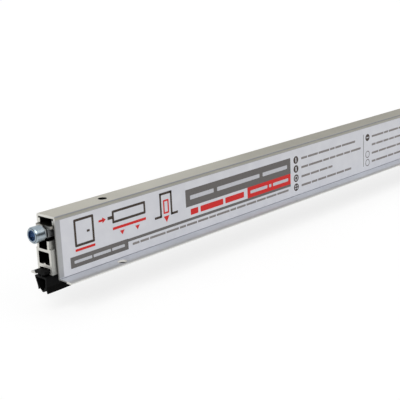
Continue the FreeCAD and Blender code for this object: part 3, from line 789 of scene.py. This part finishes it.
# Printed label: fields of colour, rows of plain bars where a label carries words, and picture signs
# for a door, the push of a plunger and the section of the housing.
# Along is counted from the housing's near end, up from the underside of its flange.
labelPrint = {
    "inkDepth": 0.02,
    "inkStep": 0.012,         # how much higher an ink lies on another
    "lineWidth": 1.1,
    "fieldRound": 0.1,        # rounding of the corners
    "leastRound": 0.1,        # inside a frame
    "mostRound": 0.49,        # as a share of a bar's shorter side
    "barRound": 0.2,
    "paleRound": 0.3,
    "boldRound": 0.4,
    "fullRound": 9.0,         # more than any bullet's half, so that it becomes a disc
    # fields and rules: left, right, low, high
    "lowerBar": (6.4, 39.4, 3.7, 8.6),
    "titleBar": (77.0, 156.4, 14.0, 22.4),
    "rule": (39.2, 156.3, 7.1, 8.4),
    "separator": (224.0, 224.4, 4.0, 22.8),
    "redBar": (121.3, 156.3, 8.4, 14.0),
    # bold bars: low, high and pairs of left and right
    "titleBold": (17.2, 19.2, ((80.0, 96.5), (99.0, 131.0), (133.5, 153.5))),
    "redBold": (9.7, 12.6, ((80.0, 85.2), (86.8, 103.0), (104.6, 118.6))),
    "paleBold": (10.4, 12.0, ((123.6, 137.0), (138.4, 140.2), (141.6, 154.2))),
    # lines of small bars: left, right, middle, height, mean width, seed
    "lowerLine": (8.4, 38.0, 6.1, 1.3, 10.0, 5),
    "footLine": (42.0, 155.0, 5.4, 1.05, 7.5, 3),
    # two columns of lines: left, the right end of each line, first seed; and the middles of their bullets
    "columns": (
        (165.7, (216.5, 222.0, 194.5, 212.5), 11),
        (232.7, (291.0, 286.0, 298.0, 276.0), 31),
    ),
    "bullets": (161.1, 228.3),
    "rows": (20.4, 15.5, 10.5, 5.6),
    "wordHeight": 1.15,
    "wordMean": 8.0,
    "wordGap": 0.6,           # share of the height left between two bars
    "bulletSize": 4.1,
    "ringWidth": 0.35,
    # signs in the bullets: half sizes and rounding, or size, rounding and line, or distance and size
    "barSigns": ((0.4, 1.3, 0.3), (0.5, 1.3, 0.5)),
    "ringSign": (2.6, 2.0, 0.5),
    "dotsSign": (0.7, 0.9),
    "dashSign": (1.2, 0.35, 0.3),
    # door leaf with its handle and a seal below it
    "doorLeaf": (9.5, 20.5, 12.4, 24.6),
    "doorHandle": (16.4, 18.0, 17.6, 18.6),
    "doorSeal": (9.5, 20.5, 10.4, 11.5),
    "frameRound": 0.5,
    # side of the housing with its plunger, the push and the drop
    "sideHousing": (31.0, 51.0, 17.6, 23.4),
    "sidePlunger": (28.4, 31.2, 19.8, 21.2),
    "sideSeal": (31.0, 51.0, 14.6, 15.8),
    "pushShaft": (23.2, 25.6, 20.0, 21.0),
    "pushHead": ((25.4, 19.2), (27.4, 20.5), (25.4, 21.8)),
    "dropHeads": (
        ((35.0, 13.4), (36.4, 11.4), (37.8, 13.4)),
        ((44.2, 13.4), (45.6, 11.4), (47.0, 13.4)),
    ),
    # hat section of the housing with the seal in it
    "hatFlanges": (56.5, 71.5),
    "hatSides": (60.0, 68.0),
    "hatLevels": (13.0, 24.6),
    "hatSeal": (62.2, 65.8, 14.4, 21.0),
    "hatSealRound": 0.3,
    "hatSealLine": 0.8,
    "hatHead": ((64.0, 10.2), (65.8, 13.2), (62.2, 13.2)),
}


def barOutlines(bars, radius, steps=6):
    # each bar's outline: four arcs, anticlockwise from its upper right corner
    bars = np.atleast_2d(np.array(bars, float))
    most = labelPrint["mostRound"] * np.minimum(bars[:, 1] - bars[:, 0], bars[:, 3] - bars[:, 2])
    bend = np.minimum(radius, most)[:, None, None]
    angle = np.arange(4)[:, None] * np.pi / 2 + np.linspace(0, np.pi / 2, steps)
    along = np.where([True, False, False, True], bars[:, 1:2], bars[:, 0:1])[..., None]
    up = np.where([True, True, False, False], bars[:, 3:4], bars[:, 2:3])[..., None]
    along = along + bend * (np.array([-1, 1, 1, -1])[:, None] + np.cos(angle))
    up = up + bend * (np.array([-1, -1, 1, 1])[:, None] + np.sin(angle))
    return np.stack([along, up], -1).reshape(len(bars), -1, 2)


def filled(bars, radius):
    # bars as whole faces: one polygon on each outline
    outlines = barOutlines(bars, radius)
    number, size = outlines.shape[:2]
    return outlines.reshape(-1, 2), np.arange(number * size).reshape(number, size)


def hollowed(bars, radius, width):
    # frames: quads between each bar's outline and the one that lies a line's width inside it
    bars = np.atleast_2d(np.array(bars, float))
    outside = barOutlines(bars, radius)
    innerRadius = max(radius - width, labelPrint["leastRound"])
    inside = barOutlines(bars + width * np.array([1, -1, 1, -1]), innerRadius)
    number, size = outside.shape[:2]
    here = np.arange(number)[:, None] * 2 * size + np.arange(size)
    there = np.arange(number)[:, None] * 2 * size + (np.arange(size) + 1) % size
    quads = np.stack([here, there, there + size, here + size], -1).reshape(-1, 4)
    return np.concatenate([outside, inside], 1).reshape(-1, 2), quads


def pointed(corners):
    # one polygon with sharp corners
    corners = np.array(corners, float)
    return corners, np.arange(len(corners))[None]


def around(centres, halfAlong, halfUp):
    # bars around their centres
    along, up = np.atleast_2d(np.array(centres, float)).T
    return np.stack([along - halfAlong, along + halfAlong, up - halfUp, up + halfUp], 1)


def inRow(low, high, ends):
    # bars of one height side by side
    return [(left, right, low, high) for left, right in ends]


def words(start, end, middle, height, mean, seed):
    # a line of bars: random widths about the mean, stretched to fill the line exactly
    count = max(1, round((end - start) / mean))
    widths = np.random.default_rng(seed).uniform(0.5, 1.5, count)
    edges = start + (end - start) * np.concatenate([[0], np.cumsum(widths) / widths.sum()])
    level = np.full(count, middle)
    ends = edges[1:] - labelPrint["wordGap"] * height
    return np.stack([edges[:-1], ends, level - height / 2, level + height / 2], 1)


def printField(name, shapes, ink, step):
    # shapes lie on the film's outer face; Solidify gives the ink its thickness
    form = labelPrint
    filmFace = nodeBox("label")[0][1]
    points = np.concatenate([shape[0] for shape in shapes])
    before = np.cumsum([0] + [len(shape[0]) for shape in shapes])
    faces = [corners for shape, base in zip(shapes, before) for corners in (shape[1] + base).tolist()]
    level = np.full(len(points), filmFace - form["inkDepth"] - step * form["inkStep"])
    spots = np.stack([nearEndX + points[:, 0], level, flangeZ + points[:, 1]], 1)
    piece = makePiece(name, spots, faces, ink)
    piece.data.shade_flat()
    thick = piece.modifiers.new("ink", "SOLIDIFY")
    thick.thickness = form["inkDepth"] * mm
    thick.offset = -1
    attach(piece, "housing")


def greyShapes(form):
    return [
        filled([form["lowerBar"], form["titleBar"], form["rule"]], form["fieldRound"]),
        filled([form["separator"]], form["fieldRound"]),
    ]


def softShapes(form):
    shapes = [filled(words(*form["footLine"]), form["barRound"])]
    for left, ends, seed in form["columns"]:
        for number, (row, right) in enumerate(zip(form["rows"], ends)):
            line = words(left, right, row, form["wordHeight"], form["wordMean"], seed + number)
            shapes.append(filled(line, form["barRound"]))
    return shapes


def darkShapes(form):
    rows = form["rows"]
    first, second = form["bullets"]
    half = form["bulletSize"] / 2
    line = form["lineWidth"]
    discs = [(first, row) for row in rows] + [(second, rows[0])]
    rings = [(second, rows[2]), (second, rows[3])]
    flangeLeft, flangeRight = form["hatFlanges"]
    left, right = form["hatSides"]
    low, high = form["hatLevels"]
    hat = [
        (flangeLeft, left + line, low, low + line),
        (left, left + line, low, high),
        (left, right, high - line, high),
        (right - line, right, low, high),
        (right - line, flangeRight, low, low + line),
    ]
    return [
        filled(around(discs, half, half), form["fullRound"]),
        hollowed(around(rings, half, half), form["fullRound"], form["ringWidth"]),
        hollowed([form["doorLeaf"], form["sideHousing"]], form["frameRound"], line),
        filled([form["doorHandle"], form["sidePlunger"]], form["barRound"]),
        filled(hat, form["fieldRound"]),
    ]


def redShapes(form):
    return [
        filled([form["redBar"]], form["fieldRound"]),
        filled(inRow(*form["redBold"]), form["boldRound"]),
        filled([form["doorSeal"], form["pushShaft"], form["sideSeal"]], form["barRound"]),
        pointed(form["pushHead"]),
        *[pointed(head) for head in form["dropHeads"]],
        hollowed([form["hatSeal"]], form["hatSealRound"], form["hatSealLine"]),
        pointed(form["hatHead"]),
    ]


def paleShapes(form):
    rows = form["rows"]
    first, second = form["bullets"]
    shapes = [
        filled(words(*form["lowerLine"]), form["paleRound"]),
        filled(inRow(*form["titleBold"]), form["boldRound"]),
        filled(inRow(*form["paleBold"]), form["paleRound"]),
    ]
    for row, (halfAlong, halfUp, radius) in zip(rows, form["barSigns"]):
        shapes.append(filled(around([(first, row)], halfAlong, halfUp), radius))
    size, radius, line = form["ringSign"]
    shapes.append(hollowed(around([(first, rows[2])], size / 2, size / 2), radius, line))
    away, size = form["dotsSign"]
    spots = [(first + along * away, rows[3] + up * away) for up in (-1, 1) for along in (-1, 1)]
    shapes.append(filled(around(spots, size / 2, size / 2), size))
    halfAlong, halfUp, radius = form["dashSign"]
    shapes.append(filled(around([(second, rows[0])], halfAlong, halfUp), radius))
    return shapes


printField("label_grey_print", greyShapes(labelPrint), finishes["greyInk"], 0)
printField("label_soft_print", softShapes(labelPrint), finishes["softInk"], 0)
printField("label_dark_print", darkShapes(labelPrint), finishes["darkInk"], 0)
printField("label_red_print", redShapes(labelPrint), finishes["redInk"], 1)
printField("label_pale_print", paleShapes(labelPrint), finishes["paleInk"], 2)
print("label printed")


# Floor, light and camera
studio = {
    "floorSize": 8.0,          # metres
    "floorLevel": -10.6,       # millimetres, just below the lowered seal
    "floorColour": 0.62,       # what it sends to the object
    "floorShade": 0.30,        # what is seen of it, which carries the shadow
    "floorGlow": 0.74,
    "ambient": 0.52,
    # suns: strength, where it comes from, degrees across
    "keyLight": (1.55, (-0.70, -0.45, 0.75), 35.0),
    "fillLight": (0.35, (0.35, -0.80, 0.45), 60.0),
    # cards along X in metres, seen only in reflections: both ends, place across, foot, top, shade
    "cards": (
        (-0.35, 0.7, -0.16, -0.0105, 0.1, 0.04),
        (1.2, 4.5, 1.2, 0.0, 1.3, 0.22),
        (-0.5, -0.24, -0.12, -0.0105, 0.09, 0.0),
    ),
}
viewpoint = {
    "place": (-446.94, -316.08, 141.28),
    "azimuth": 46.138,         # degrees from +Y towards +X
    "elevation": -15.114,
    "roll": -2.756,
    "lens": 87.576,
    "sensor": 36.0,
    "clipStart": 0.01,         # metres
}
# a matt surface that glows white
glowing = {"Roughness": 1.0, "Specular IOR Level": 0.0, "Emission Color": (1, 1, 1, 1)}


def addSeenByRays(tree):
    # one where the camera, a reflection or a clear piece sees the surface
    path = addNode(tree, "LightPath")
    mirror = addNode(tree, "Math", {
        0: path.outputs["Is Camera Ray"], 1: path.outputs["Is Glossy Ray"]}, operation="MAXIMUM")
    seen = addNode(tree, "Math", {
        0: mirror.outputs[0], 1: path.outputs["Is Transmission Ray"]}, operation="MAXIMUM")
    return seen.outputs[0]


def makePlane(name, corners, material):
    mesh = bpy.data.meshes.new(name)
    mesh.from_pydata(corners, [], [(0, 1, 2, 3)])
    mesh.materials.append(material)
    plane = bpy.data.objects.new(name, mesh)
    scene.collection.objects.link(plane)
    return plane


def buildFloor(form):
    material, tree, shader = startMaterial("paleFloor")
    seen = addSeenByRays(tree)
    glow = addNode(tree, "Math", {0: seen, 1: form["floorGlow"]}, operation="MULTIPLY")
    shade = addNode(tree, "MapRange", {
        "Value": seen, **span((form["floorColour"], form["floorShade"]), "To")})
    setInputs(tree, shader, glowing)
    setInputs(tree, shader, {"Base Color": shade.outputs[0], "Emission Strength": glow.outputs[0]})
    # seen from above only, so that a camera below it can look at the underside
    behind = addNode(tree, "NewGeometry")
    clear = addNode(tree, "BsdfTransparent")
    oneSided = addNode(tree, "MixShader", {
        0: behind.outputs["Backfacing"], 1: shader.outputs[0], 2: clear.outputs[0]})
    tree.links.new(oneSided.outputs[0], tree.nodes["Material Output"].inputs["Surface"])
    half = form["floorSize"] / 2
    level = form["floorLevel"] * mm
    corners = [(-half, -half, level), (half, -half, level), (half, half, level), (-half, half, level)]
    floor = makePlane("floor", corners, material)


def buildCard(name, first, last, across, foot, top, shade):
    material, tree, shader = startMaterial(name)
    setInputs(tree, shader, glowing)
    setInputs(tree, shader, {"Base Color": (0, 0, 0, 1), "Emission Strength": shade})
    corners = [(last, across, foot), (first, across, foot), (first, across, top), (last, across, top)]
    card = makePlane(name, corners, material)
    card.visible_camera = False
    card.visible_diffuse = False
    card.visible_shadow = False
    card.visible_transmission = False


def buildWorld(form):
    world = bpy.data.worlds.new("studio")
    world.use_nodes = True
    tree = world.node_tree
    strength = addNode(tree, "MapRange", {
        "Value": addSeenByRays(tree), **span((form["ambient"], 1.0), "To")})
    setInputs(tree, tree.nodes["Background"], {"Color": (1, 1, 1, 1), "Strength": strength.outputs[0]})
    scene.world = world


def addSun(name, strength, comesFrom, angle):
    lamp = bpy.data.lights.new(name, "SUN")
    lamp.energy = strength
    lamp.angle = math.radians(angle)
    sun = bpy.data.objects.new(name, lamp)
    sun.rotation_euler = Vector(comesFrom).to_track_quat("Z", "Y").to_euler()
    scene.collection.objects.link(sun)


def placeCamera(form):
    turn = math.radians(form["azimuth"])
    tilt = math.radians(form["elevation"])
    roll = math.radians(form["roll"])
    ahead = Vector((math.sin(turn) * math.cos(tilt), math.cos(turn) * math.cos(tilt), math.sin(tilt)))
    level = ahead.cross(Vector((0, 0, 1))).normalized()
    above = level.cross(ahead)
    right = level * math.cos(roll) + above * math.sin(roll)
    axes = Matrix((right, right.cross(ahead), -ahead)).transposed()
    camera = bpy.data.objects.new("camera", bpy.data.cameras.new("camera"))
    camera.data.lens = form["lens"]
    camera.data.sensor_width = form["sensor"]
    camera.data.clip_start = form["clipStart"]
    camera.matrix_world = Matrix.Translation(Vector(form["place"]) * mm) @ axes.to_4x4()
    scene.collection.objects.link(camera)
    scene.camera = camera


buildFloor(studio)
for number, card in enumerate(studio["cards"]):
    buildCard("card" + str(number), *card)
buildWorld(studio)
addSun("keyLight", *studio["keyLight"])
addSun("fillLight", *studio["fillLight"])
placeCamera(viewpoint)
print("stage and camera set")
